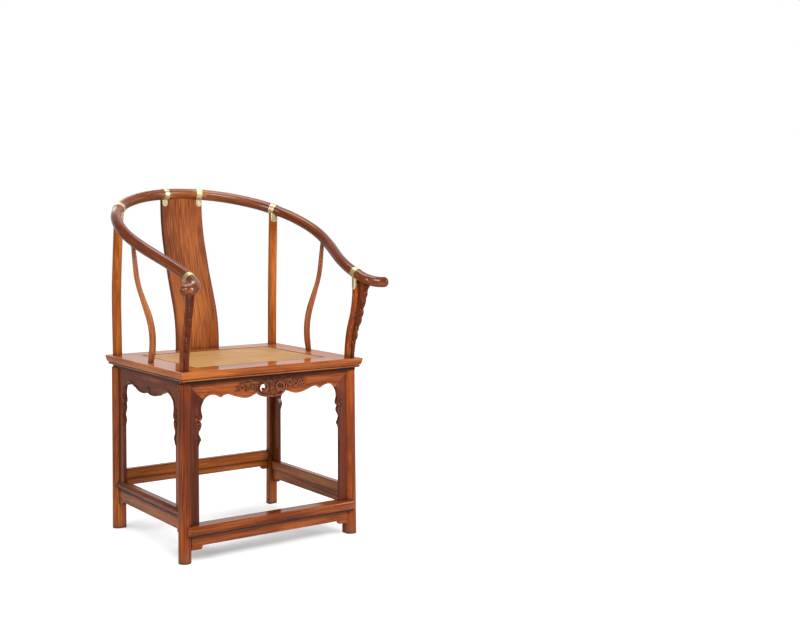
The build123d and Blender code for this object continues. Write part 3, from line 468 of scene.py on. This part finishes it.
def cane():
    """Fine twill of split cane: each cell shows the strip that lies on top."""
    g = Graph(bpy.data.materials.new("cane"))
    x, y, _ = g.parts(g.coords)
    column = g.math("DIVIDE", x, CANE_PITCH)
    row = g.math("DIVIDE", y, CANE_PITCH)
    column_index = g.math("FLOOR", column)
    row_index = g.math("FLOOR", row)
    phase = g.math("FLOORED_MODULO", g.plus(column_index, row_index), TWILL_REPEAT)
    over = g.math("LESS_THAN", phase, TWILL_OVER)
    across = g.math("ABSOLUTE", g.minus(g.math("FRACT", column), 0.5))
    down = g.math("ABSOLUTE", g.minus(g.math("FRACT", row), 0.5))
    height = g.span(g.either(over, across, down), 0.5, 0.28)
    strip = g.either(over, column_index, row_index)
    varied = g.node("ShaderNodeTexWhiteNoise", {"W": strip}, noise_dimensions="1D").outputs["Value"]
    cloud = g.noise(g.coords, detail=4, roughness=0.6, scale=14)
    tone = g.plus(g.times(varied, 0.35), g.times(cloud, 0.75))
    colour = g.mix(g.span(tone, 0.25, 0.8), CANE_DARK, CANE_LIGHT)
    # The strips' edges darken: the gaps between them, and painted shade in the creases
    gap_and_crease_shade = g.span(height, 0.0, 0.5, to_low=0.35, to_high=0.0)
    return g.principled(
        Base_Color=g.mix(gap_and_crease_shade, colour, CANE_DARK),
        Roughness=0.5,
        Normal=g.bump(height, distance=0.0003, strength=0.5),
        Specular_IOR_Level=0.08,
    )


def palm_fibre():
    """Brown palm fibre, coarse and matt."""
    g = Graph(bpy.data.materials.new("palm_fibre"))
    threads = [g.noise(g.scaled(g.coords, scale), 4, 0.7) for scale in ((700, 60, 700), (60, 700, 700))]
    both = g.math("MAXIMUM", *threads)
    colour = g.mix(g.span(both, 0.4, 0.75), FIBRE_DARK, FIBRE_LIGHT)
    return g.principled(Base_Color=colour, Roughness=0.85, Normal=g.bump(both, distance=0.0012, strength=0.8))


# Patina round the carving: centre, and reach along each axis
FRONT_APRON_PATINA = (
    ((0.002, -0.231, 0.447), (0.062, 0.05, 0.040)),
    ((0.078, -0.231, 0.462), (0.036, 0.05, 0.022)),
)
FRONT_UPRIGHT_PATINA = (
    ((0.226, -0.231, 0.372), (0.03, 0.05, 0.05)),
    ((-0.226, -0.231, 0.372), (0.03, 0.05, 0.05)),
)
SIDE_APRON_PATINA = (
    ((0.262, -0.003, 0.435), (0.05, 0.04, 0.03)),
    ((-0.262, -0.003, 0.435), (0.05, 0.04, 0.03)),
)

# Wood of each node, by the start of its name, with what wood() is told. A node takes each row that
# fits, and the later row wins. A lip's height is counted from the node's underside; below it, shade
# is painted. A tint that raises green and blue paints a pale sheen, and the rows for the chair's
# left side are darkened with painted shade.
# Darker wood for inner parts: painted shade
SHADED_INNER = {"light": SHADED_INNER_LIGHT, "dark": SHADED_INNER_DARK}
WOODS = {
    # A tint that raises green and blue paints a pale sheen
    "crest": {"run": "rail", "shift": 0.08, "tint": (1.0, 1.3, 1.4), "edge": 0.1, "matt": 0.14, "sheen": 1.5},
    "arm_rail": {
        "run": "rail", "shift": 0.09, "tint": (0.98, 1.18, 1.25), "edge": 0.1, "matt": 0.05, "sheen": 1.5,
    },
    "scarf_pegs": SHADED_INNER,
    "arm_spandrel": {"shift": 0.02, "carved": True, "coat": 0.45, "sheen": 1.25},
    # Darker on the chair's left: painted shade
    "arm_spandrel_left": {"shift": 0.13},
    "back_splat": {"run": "board", "shift": 0.06, "tint": (1.0, 1.22, 1.25), "coat": 0.5, "matt": 0.28},
    "side_brace": {"run": "bar", "shift": 0.02, "tint": (1.25, 1.62, 2.1), "matt": 0.08, "sheen": 1.45},
    "rear_leg": {"shift": -0.02, "tint": (1.0, 1.05, 0.85), "worn": True},
    "front_leg": {"tint": (1.0, 0.88, 0.5), "worn": True},
    # Darker on the chair's left: painted shade
    "front_leg_left": {"shift": 0.09, "tint": (0.88, 0.8, 0.62)},
    "seat_rail": {
        "shift": -0.05, "tint": (1.0, 1.06, 1.0), "lip": 0.0095, "edge": 0.2, "coat": 0.72, "sheen": 1.4,
    },
    "seat_rail_front": {"run": "x"},
    "seat_rail_back": {"run": "x"},
    "seat_rail_left": {"run": "y", "coat": 0.8},
    "seat_rail_right": {"run": "y", "coat": 0.6},
    "seat_braces": {"run": "y", **SHADED_INNER},
    "mat_border": {"run": "x", "shift": 0.34, "coat": 0.15},
    "front_apron": {"run": "x", "shift": 0.04, "patina": FRONT_APRON_PATINA, "carved": True, "edge": 0.7},
    "front_upright": {"shift": 0.10, "patina": FRONT_UPRIGHT_PATINA, "carved": True},
    # Darker on the chair's left: painted shade
    "front_upright_left": {"shift": 0.14, "tint": (0.62, 0.6, 0.55)},
    "side_apron": {"run": "y", "shift": 0.10, "patina": SIDE_APRON_PATINA, "carved": True, "edge": 0.6},
    "side_upright": {"shift": 0.10, "carved": True},
    "rear_apron": {"run": "x", **SHADED_INNER},
    "footrest": {"run": "x", "shift": 0.03, "lip": 0.005, "edge": 0.3, "sheen": 1.45},
    "footrest_apron": {"tint": (1.0, 0.96, 0.75), "lip": None},
    "back_stretcher": {"run": "x", "shift": -0.08, "tint": (1.05, 1.1, 1.2)},
    "side_stretcher": {"run": "y", "tint": (1.05, 1.25, 1.4), "matt": 0.08, "sheen": 1.45},
    # Darker on the chair's left: painted shade
    "side_stretcher_left": {"shift": 0.1, "tint": (0.8, 0.86, 0.95)},
}


def wood_of(node, seed):
    """Wood that the rows of WOODS give a node."""
    look = {}
    for start, values in WOODS.items():
        if node.startswith(start):
            look.update(values)
    if look.get("lip"):
        look["lip"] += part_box(node)[0][2]
    return wood(f"wood_{node}", seed, **look)


def dress_nodes(straw, palm):
    """Gives every CAD node its procedural material."""
    brass_sheet = brass()
    for seed, node in enumerate(sorted(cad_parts)):
        if "strap" in node:
            material = brass_sheet
        elif node == "cane_mat":
            material = straw
        elif node == "palm_webbing":
            material = palm
        else:
            material = wood_of(node, seed)
        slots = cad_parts[node].data.materials
        slots.clear()
        slots.append(material)


def new_mesh(name, form, material):
    """Object made from a bmesh, which is freed."""
    mesh = bpy.data.meshes.new(name)
    form.to_mesh(mesh)
    form.free()
    mesh.materials.append(material)
    made = bpy.data.objects.new(name, mesh)
    bpy.context.collection.objects.link(made)
    return made


def mesh_piece(name, form, material):
    """Turns a bmesh into a piece that rides on the chair."""
    piece = new_mesh(name, form, material)
    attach(piece, "root")
    return piece


# Carving. A board's drawing is in millimetres: across, and up from a base height.
def curl(x, z, radius, first, stretch):
    """Arc from a first angle, in degrees, that then winds in to a volute."""
    points = []
    for step in range(CURL_STEPS + 1):
        angle = math.radians(first + stretch * step / CURL_STEPS)
        points.append((x + radius * math.cos(angle), z + radius * math.sin(angle)))
    turn = math.copysign(CURL_TAIL, stretch)
    for step in range(1, CURL_TAIL_STEPS + 1):
        share = step / CURL_TAIL_STEPS
        angle = math.radians(first + stretch + turn * share)
        near = radius * (1 - CURL_CLOSES * share)
        points.append((x + near * math.cos(angle), z + near * math.sin(angle)))
    return points


def flow(*corners, steps=7):
    """Smooth line through a few points."""
    line = [Vector(corner) for corner in corners]
    line = [2 * line[0] - line[1], *line, 2 * line[-1] - line[-2]]
    points = []
    for before, start, end, after in zip(line, line[1:], line[2:], line[3:]):
        for step in range(steps):
            t = step / steps
            points.append(tuple(0.5 * (
                2 * start
                + (end - before) * t
                + (2 * before - 5 * start + 4 * end - after) * t * t
                + (3 * start - before - 3 * end + after) * t ** 3
            )))
    points.append(tuple(line[-2]))
    return points


def close_tube(form, rings, sides):
    """Faces round a run of equal rings, and its two ends."""
    for ring, following in zip(rings, rings[1:]):
        for side in range(sides):
            other = (side + 1) % sides
            form.faces.new((ring[side], ring[other], following[other], following[side]))
    form.faces.new(rings[0][::-1])
    form.faces.new(rings[-1])


def ridge(form, points, width, height, place):
    """Rounded ridge along a line, tapered to both ends. place turns (x, z, out) into a vector."""
    rings = []
    last = len(points) - 1
    for index, (x, z) in enumerate(points):
        ahead = Vector(points[min(index + 1, last)]) - Vector(points[max(index - 1, 0)])
        ahead.normalize()
        taper = math.sin(math.pi * index / last) ** RIDGE_TAPER
        swell = RIDGE_TIP_WIDTH + (1 - RIDGE_TIP_WIDTH) * taper
        rise = height * (RIDGE_TIP_HEIGHT + (1 - RIDGE_TIP_HEIGHT) * swell)
        ring = []
        for side in range(RIDGE_SIDES + 1):
            angle = math.pi * side / RIDGE_SIDES
            across = math.cos(angle) * width / 2 * swell
            out = math.sin(angle) * rise - RIDGE_SUNK
            ring.append(form.verts.new(place(x - ahead.y * across, z + ahead.x * across, out)))
        rings.append(ring)
    close_tube(form, rings, RIDGE_SIDES + 1)


def carving(name, strokes, places, material):
    """Piece of carved ridges. A stroke is (points, width, height); each place repeats them all."""
    form = bmesh.new()
    for place in places:
        for points, width, height in strokes:
            ridge(form, points, width, height, place)
    bmesh.ops.recalc_face_normals(form, faces=form.faces)
    for face in form.faces:
        face.smooth = True
    mesh_piece(name, form, material)


def on_front(side):
    """Place on the front apron's field, mirrored for side -1."""
    low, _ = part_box("front_apron")
    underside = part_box("seat_rail_front")[0][2]
    return lambda x, z, out: Vector((side * x * MM, low[1] + (RELIEF - out) * MM, underside + z * MM))


def on_side(chair_side, end):
    """Place on a side apron's field, counted from its middle to the rear or front end."""
    low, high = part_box("side_apron_right")
    middle = (low[1] + high[1]) / 2
    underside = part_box("seat_rail_front")[0][2]
    return lambda x, z, out: Vector((
        chair_side * (high[0] + (out - RELIEF) * MM), middle + end * x * MM, underside + z * MM,
    ))


def on_spandrel(chair_side, face):
    """Place on one face of an arm spandrel, counted forward from the post and up from the seat."""
    turn = math.radians(SPANDREL_TURN)
    ahead = Vector((math.sin(turn), -math.cos(turn), 0))
    across = Vector((math.cos(turn), math.sin(turn), 0))
    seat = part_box("seat_rail_front")[1][2]

    def place(x, z, out):
        there = Vector((*SPANDREL_FOOT, 0)) + ahead * x + across * face * (SPANDREL_THICKNESS / 2 + out)
        return Vector((chair_side * there.x * MM, there.y * MM, seat + z * MM))

    return place


# Half of the front apron's carving, as strokes of points, width and height
FRONT_SCROLLS = [
    # ring and volute round the piercing, and the rim below them
    (curl(26, -29, 13, -125, 275), 5.0, 4.4),
    (curl(21, -34.5, 4.2, 60, 300), 2.6, 3.6),
    (flow((0, -52.4), (14, -51.4), (26, -48.8), (36, -44), (42, -36.5), (45.5, -29), (44.5, -22)), 4.4, 4.6),
    # strapwork down the middle
    (flow((0, -2.5), (4.6, -8.5), (0, -15)), 2.4, 3.2),
    (flow((0, -14), (5, -21), (3.6, -27), (0, -31)), 2.4, 4.0),
    (flow((0, -30), (4.4, -36.5), (2.8, -42), (0, -46)), 2.4, 4.0),
    # stems above the ring and beside it
    (flow((6, -13), (16, -13.5), (28, -13), (40, -10), (49, -6.5), (57, -4.5)), 2.6, 2.8),
    (flow((10, -5), (18, -7.5), (25, -6.5), (31, -3.5)), 2.2, 2.4),
    (flow((44, -37), (49, -34.5), (55, -31), (60, -28.5)), 2.6, 2.6),
    # leaf scrolls towards the end
    (curl(58, -20, 8, 60, 240), 3.2, 3.2),
    (curl(76, -24, 6.5, 80, 220), 3.2, 3.0),
    (curl(90, -21, 5, 40, 230), 3.0, 3.0),
    (curl(101, -27, 4, 60, 240), 2.8, 2.8),
    # leaf tips
    (flow((64, -13), (71, -10), (79, -10.5), (85, -13)), 3.0, 2.6),
    (flow((64, -27), (70, -32), (77, -33.5), (84, -32)), 3.0, 2.6),
    (flow((82, -18), (88, -13), (96, -11.5), (103, -13.5)), 2.8, 2.4),
    (flow((94, -24), (100, -20.5), (107, -19.5), (113, -21.5)), 2.8, 2.4),
    (flow((103, -30), (109, -30.5), (115, -28)), 2.4, 2.2),
]
SIDE_APRON_CURL = (curl(4.5, -40, 4.5, 180, 230), 2.6, 2.8)

# Leaf lobes along a spandrel's front edge: forward of the post, and up from the seat
SPANDREL_LOBES = ((27, 51), (33.5, 75), (41, 93), (51.5, 118), (57.5, 142), (69.5, 174), (75, 192))
SPANDREL_TOP = (flow((78, 207), (70, 212), (61, 208), (55, 198)), 2.2, 1.8)


def upright_scrolls(edge):
    """Two volutes and a leaf down an upright board."""
    return [
        (curl(edge + 1.5, -93, 6, 90, 240), 3.0, 3.2),
        (flow((edge + 1.5, -87), (edge + 7, -84), (edge + 8, -77), (edge + 4, -71)), 2.4, 2.4),
        (curl(edge + 1.5, -112, 5.5, 90, 240), 3.0, 3.2),
        (flow((edge + 2, -106.5), (edge + 8, -105), (edge + 9.5, -98), (edge + 8, -92)), 2.2, 2.4),
        (flow((edge + 6, -116), (edge + 5, -125), (edge + 3, -134), (edge - 2, -146)), 2.6, 2.4),
    ]


def spandrel_scrolls():
    """A curl and a leaf stem on each lobe."""
    strokes = []
    for x, z in SPANDREL_LOBES:
        strokes.append((curl(x - 5.2, z - 4, 3.2, -20, 230), 2.2, 1.9))
        strokes.append((flow((x - 8, z - 16), (x - 4.5, z - 12), (x - 3.2, z - 7)), 2.2, 1.6))
    strokes.append(SPANDREL_TOP)
    return strokes


def carve():
    """All the low relief, on the boards and spandrels."""
    # The ridges' pale edges are wear and painted highlight; their hollows get dirt and painted shade
    material = wood(
        "wood_carving", CARVING_SEED, "x", shift=0.03, carved=True, edge=0.95, matt=0.06, sheen=1.5,
    )
    fronts = [on_front(1), on_front(-1)]
    carving("front_apron_carving", FRONT_SCROLLS, fronts, material)
    carving("front_upright_carving", upright_scrolls(UPRIGHT_EDGE_FRONT), fronts, material)
    side_strokes = [SIDE_APRON_CURL, *upright_scrolls(UPRIGHT_EDGE_SIDE)]
    for name, chair_side in (("right", 1), ("left", -1)):
        ends = [on_side(chair_side, 1), on_side(chair_side, -1)]
        carving(f"side_apron_carving_{name}", side_strokes, ends, material)
        faces = [on_spandrel(chair_side, 1), on_spandrel(chair_side, -1)]
        carving(f"spandrel_carving_{name}", spandrel_scrolls(), faces, material)


# Seat: the cane mat and the palm cords that carry it
def mat_layer(form, low, high, depth):
    """Rows of points over the mat. sag is 0 at the frame's members and 1 in the middle."""
    size = high - low
    layer = []
    for row in range(MAT_ROWS + 1):
        line = []
        for column in range(MAT_COLUMNS + 1):
            across, down = column / MAT_COLUMNS, row / MAT_ROWS
            sag = 16 * across * (1 - across) * down * (1 - down)
            line.append(form.verts.new((
                low.x + size.x * across,
                low.y + size.y * down,
                high.z - depth - MAT_SAG * MM * sag ** MAT_FULLNESS,
            )))
        layer.append(line)
    return layer


def mat_rim():
    """Rows and columns round the mat, one side after another."""
    rows, columns = MAT_ROWS, MAT_COLUMNS
    return (
        [(0, column) for column in range(columns + 1)],
        [(row, columns) for row in range(rows + 1)],
        [(rows, column) for column in range(columns, -1, -1)],
        [(row, 0) for row in range(rows, -1, -1)],
    )


def cane_sheet(straw):
    """Thin mat, closed round its rim."""
    low, high = (Vector(corner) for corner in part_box("cane_mat"))
    form = bmesh.new()
    top, bottom = (mat_layer(form, low, high, depth) for depth in (0.0, MAT_THICKNESS * MM))
    for row in range(MAT_ROWS):
        for column in range(MAT_COLUMNS):
            corners = ((row, column), (row, column + 1), (row + 1, column + 1), (row + 1, column))
            form.faces.new([top[r][c] for r, c in corners])
            form.faces.new([bottom[r][c] for r, c in (corners[0], *corners[:0:-1])])
    for side in mat_rim():
        for (r, c), (next_r, next_c) in zip(side, side[1:]):
            form.faces.new((top[r][c], bottom[r][c], bottom[next_r][next_c], top[next_r][next_c]))
    bmesh.ops.recalc_face_normals(form, faces=form.faces)
    for face in form.faces:
        face.smooth = abs(face.normal.z) > 0.5
    mat = mesh_piece("woven_cane_mat", form, straw)
    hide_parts("cane_mat")


def cord_run(form, start, end, phase, height):
    """One palm cord, waving over and under the cords it crosses."""
    start, end = Vector(start), Vector(end)
    along = (end - start).normalized()
    side = Vector((-along.y, along.x))
    length = (end - start).length
    count = max(2, round(length / (CORD_PITCH / 3)))
    rings = []
    for step in range(count + 1):
        travel = length * step / count
        middle = start + along * travel
        lift = height + CORD_WAVE * math.cos(math.pi * (travel + phase) / CORD_PITCH)
        ring = []
        for corner in range(CORD_SIDES):
            angle = 2 * math.pi * corner / CORD_SIDES + travel * CORD_TWIST
            there = middle + side * CORD_RADIUS * math.cos(angle)
            up = lift + CORD_RADIUS * math.sin(angle)
            ring.append(form.verts.new((there.x * MM, there.y * MM, up * MM)))
        rings.append(ring)
    close_tube(form, rings, CORD_SIDES)


def palm_cords(palm):
    """Diagonal lattice of palm cords under the mat."""
    low, high = (Vector(corner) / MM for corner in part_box("palm_webbing"))
    height = (low.z + high.z) / 2
    half_x, middle_y, half_y = high.x, (low.y + high.y) / 2, (high.y - low.y) / 2
    form = bmesh.new()
    spacing = CORD_PITCH * math.sqrt(2)
    reach = int((half_x + half_y) / spacing) + 1
    for lean in (1, -1):
        for index in range(-reach, reach + 1):
            offset = (index + 0.5) * spacing
            nearer, further = sorted((lean * (-half_y - offset), lean * (half_y - offset)))
            first = max(-half_x, nearer)
            last = min(half_x, further)
            if last - first < CORD_PITCH:
                continue
            start = (first, middle_y + lean * first + offset)
            end = (last, middle_y + lean * last + offset)
            phase = (first + half_x) * math.sqrt(2) + (CORD_PITCH if lean < 0 else 0)
            cord_run(form, start, end, phase, height)
    for face in form.faces:
        face.smooth = True
    cords = mesh_piece("palm_cord_lattice", form, palm)
    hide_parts("palm_webbing")


# Stage: floor, world, lights, camera
def stage_rays(g):
    """The kinds of ray, and 1 for those that see the stage: directly, reflected or through glass."""
    rays = g.node("ShaderNodeLightPath").outputs
    seen = g.plus(rays["Is Camera Ray"], rays["Is Glossy Ray"])
    return rays, g.math("MINIMUM", g.plus(seen, rays["Is Transmission Ray"]), 1.0)


def floor_shadow(g):
    """Shadow between the feet: from what stands near, and a faint one under the seat's middle."""
    x, y, _ = g.parts(g.coords)
    left, front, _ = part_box("front_leg_left")[0]
    near = g.occlusion(SHADOW_REACH, 16, {"Normal": SHADOW_LEAN})
    behind_front = g.span(y, *(front + reach for reach in SHADOW_FROM_FRONT))
    within_sides = g.span(g.math("ABSOLUTE", x), -left, -left - SHADOW_FROM_SIDE)
    under = g.times(behind_front, within_sides)
    fading = [front + reach for reach in SHADOW_FADES_BACK]
    under = g.times(under, g.span(y, *fading, SHADOW_REAR_SHARE, 1.0))
    under = g.times(under, g.span(x, -left, SHADOW_LEFT_X, SHADOW_RIGHT_SHARE, SHADOW_LEFT_SHARE))
    dark = g.times(g.span(near, *SHADOW_NEAR, 0.0, SHADOW_DEPTH), under)
    dark = g.math("SMOOTH_MIN", dark, SHADOW_DEEPEST, SHADOW_SOFTENED)
    middle = g.times(g.span(x, *UNDER_X, 0.0, UNDER_SHADE), g.span(x, -left, -left - UNDER_FROM_SIDE))
    between = g.times(g.span(y, *UNDER_REAR_Y), g.span(y, front, front + UNDER_FROM_FRONT))
    middle = g.times(middle, between)
    return g.math("MAXIMUM", dark, middle)


def floor_material():
    """White floor that keeps the chair's shadow; beyond it, the floor glows to plain white."""
    g = Graph(bpy.data.materials.new("floor"))
    rays, seen = stage_rays(g)
    glow = g.minus(FLOOR_GLOW, floor_shadow(g))
    far = g.span(g.length(g.coords), *PLAIN_WHITE_FROM)
    glow = g.plus(glow, g.times(far, 1.0 - FLOOR_GLOW))
    dimmed = g.times(rays["Is Glossy Ray"], 1.0 - FLOOR_REFLECTED)
    glow = g.times(glow, g.minus(seen, dimmed))
    diffuse = g.node("ShaderNodeBsdfDiffuse", {"Color": g.mix(seen, FLOOR_GREY, FLOOR_SEEN_GREY)})
    shine = g.node("ShaderNodeEmission", {"Color": (1, 1, 1), "Strength": glow})
    return g.surface(g.node("ShaderNodeAddShader", {0: diffuse.outputs[0], 1: shine.outputs[0]}))


def set_floor():
    form = bmesh.new()
    bmesh.ops.create_grid(form, x_segments=4, y_segments=4, size=FLOOR_SIZE)
    floor = new_mesh("floor", form, floor_material())


def set_world():
    """White for the camera, a dim room with one bright side in reflections, and dim ambient light."""
    g = Graph(bpy.data.worlds.new("studio"), "ShaderNodeOutputWorld")
    rays, seen = stage_rays(g)
    towards = g.vector("DOT_PRODUCT", g.heading, BACKDROP_HEADING)
    backdrop = g.span(towards, *BACKDROP_EDGE, ROOM, BACKDROP_REFLECTED)
    shown = g.math("MAXIMUM", rays["Is Camera Ray"], backdrop)
    strength = g.span(seen, 0.0, 1.0, AMBIENT, shown)
    background = g.node("ShaderNodeBackground", {"Color": (1, 1, 1), "Strength": strength})
    bpy.context.scene.world = g.surface(background)


def soft_light(name, place, aim, size, power):
    """Area lamp of a width and height, turned to what it aims at."""
    lamp = bpy.data.lights.new(name, "AREA")
    lamp.shape = "RECTANGLE"
    lamp.size, lamp.size_y = size
    lamp.energy = power
    item = bpy.data.objects.new(name, lamp)
    item.location = place
    item.rotation_euler = (Vector(aim) - Vector(place)).to_track_quat("-Z", "Y").to_euler()
    bpy.context.collection.objects.link(item)


def set_lights():
    soft_light("front_light", (-0.5, -3.3, 2.9), (0, 0, 0.4), (1.8, 1.2), 118)
    soft_light("top_light", (0.2, 0.2, 3.2), (0, 0, 0.3), (1.9, 1.9), 55)
    soft_light("left_light", (-3.4, -1.2, 1.6), (0, 0, 0.5), (0.7, 2.2), 44)
    soft_light("back_light", (0.8, 3.3, 2.4), (0, 0, 0.5), (1.6, 1.6), 18)
    soft_light("right_light", (2.6, -2.4, 1.7), (0, 0, 0.5), (0.6, 2.2), 60)


def set_camera():
    lens = bpy.data.cameras.new("photo_view")
    lens.sensor_fit = "HORIZONTAL"
    lens.sensor_width = SENSOR
    lens.lens = FOCAL_PIXELS / IMAGE_WIDTH * SENSOR
    lens.shift_y = -HORIZON_ROW_OFFSET / IMAGE_WIDTH
    view = bpy.data.objects.new("photo_view", lens)
    view.location = CAMERA_PLACE
    view.rotation_euler = (math.pi / 2 - CAMERA_PITCH, 0, CAMERA_TURN)
    bpy.context.collection.objects.link(view)
    bpy.context.scene.camera = view


straw_material = cane()
palm_material = palm_fibre()
dress_nodes(straw_material, palm_material)
carve()
cane_sheet(straw_material)
palm_cords(palm_material)
set_floor()
set_world()
set_lights()
set_camera()
bpy.context.scene.view_settings.view_transform = "Standard"
